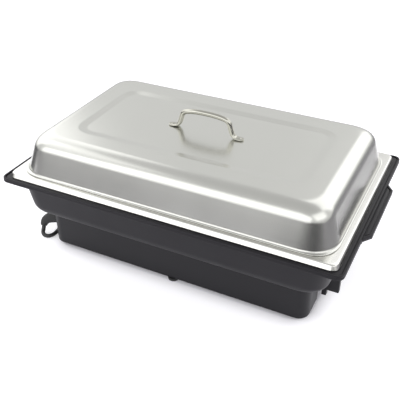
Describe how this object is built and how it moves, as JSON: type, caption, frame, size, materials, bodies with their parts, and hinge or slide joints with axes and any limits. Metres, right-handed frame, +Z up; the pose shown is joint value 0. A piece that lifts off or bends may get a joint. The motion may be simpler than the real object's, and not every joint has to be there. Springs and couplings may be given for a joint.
{
  "type": "electric chafing dish",
  "caption": "Electric chafing dish: black heated water bath on a moulded base, full-size steel food pan, domed steel lid with a bowed handle, control end and mains cord.",
  "frame": {"origin": "on the bench under the middle of the object, without its cord", "axes": "+Z up, +X towards the control end along the long side, -Y the front"},
  "size_m": [0.569, 0.4521, 0.2365],
  "materials": {
    "lid_steel": "satin",
    "pan_steel": "satin",
    "handle_steel": "polished",
    "bath_plastic": "fine spark-eroded texture",
    "base_plastic": "fine spark-eroded texture",
    "trim_plastic": "semi-gloss",
    "rocker_plastic": "gloss",
    "lens_plastic": "clear orange",
    "rubber": "matte",
    "cord_rubber": "satin",
    "zinc_steel": "zinc plated",
    "plate_aluminium": "satin",
    "element_steel": "oxidised",
    "seal_silicone": "matte",
    "copper": "bare",
    "ceramic": "matt",
    "brass": "bare",
    "wire_brown": "satin",
    "wire_blue": "satin",
    "wire_green": "satin",
    "plug_nickel": "nickel plated"
  },
  "bodies": {
    "base": {"water_bath": "bath_plastic", "left_handle": "bath_plastic", "right_handle": "bath_plastic", "base_housing": "base_plastic", "bottom_cover": "base_plastic", "corner_feet": "rubber", "edge_feet": "rubber", "base_screws": "zinc_steel", "control_hood": "base_plastic", "control_fascia": "trim_plastic", "fascia_screws": "zinc_steel", "thermostat": "ceramic", "thermostat_nut": "zinc_steel", "switch_body": "trim_plastic", "pilot_lens": "lens_plastic", "pilot_lamp": "ceramic", "heater_plate": "plate_aluminium", "heater_seal": "seal_silicone", "plate_nuts": "zinc_steel", "heating_element": "element_steel", "element_pins": "zinc_steel", "element_clamps": "zinc_steel", "clamp_nuts": "zinc_steel", "sensor_bulb": "copper", "capillary": "copper", "thermal_cutout": "zinc_steel", "heat_shield": "zinc_steel", "shield_screws": "zinc_steel", "earth_tab": "brass", "terminal_block": "ceramic", "terminal_screws": "brass", "live_core": "wire_brown", "neutral_core": "wire_blue", "earth_core": "wire_green", "live_wire": "wire_brown", "neutral_wire": "wire_blue", "earth_wire": "wire_green", "switch_link": "wire_brown", "element_link": "wire_brown", "cord_clamp": "base_plastic", "clamp_screws": "zinc_steel", "inner_lead": "cord_rubber", "strain_relief": "rubber", "mains_cord": "cord_rubber", "mains_cord_coil": "cord_rubber", "mains_cord_end": "cord_rubber", "plug_body": "cord_rubber", "plug_clips": "plug_nickel", "plug_pins": "plug_nickel"},
    "food_pan": {"food_pan": "pan_steel"},
    "lid": {"lid": "lid_steel", "lid_handle": "handle_steel", "lid_handle_rivets": "handle_steel"},
    "knob": {"control_knob": "trim_plastic", "thermostat_shaft": "zinc_steel"},
    "rocker": {"switch_rocker": "rocker_plastic"}
  },
  "joints": [
    {"name": "pan_lift", "type": "slide", "parent": "base", "child": "food_pan", "axis": [0, 0, 1], "range_m": [0, 0.12]},
    {"name": "lid_lift", "type": "slide", "parent": "food_pan", "child": "lid", "axis": [0, 0, 1], "range_m": [0, 0.12]},
    {"name": "knob_turn", "type": "hinge", "parent": "base", "child": "knob", "pos_m": [0.23, 0, 0.03], "axis": [1, 0, 0], "range_deg": [0, 270]},
    {"name": "rocker_tip", "type": "hinge", "parent": "base", "child": "rocker", "pos_m": [0.2155, 0.04, 0.036], "axis": [0, 0, 1], "range_deg": [-18, 0]}
  ]
}
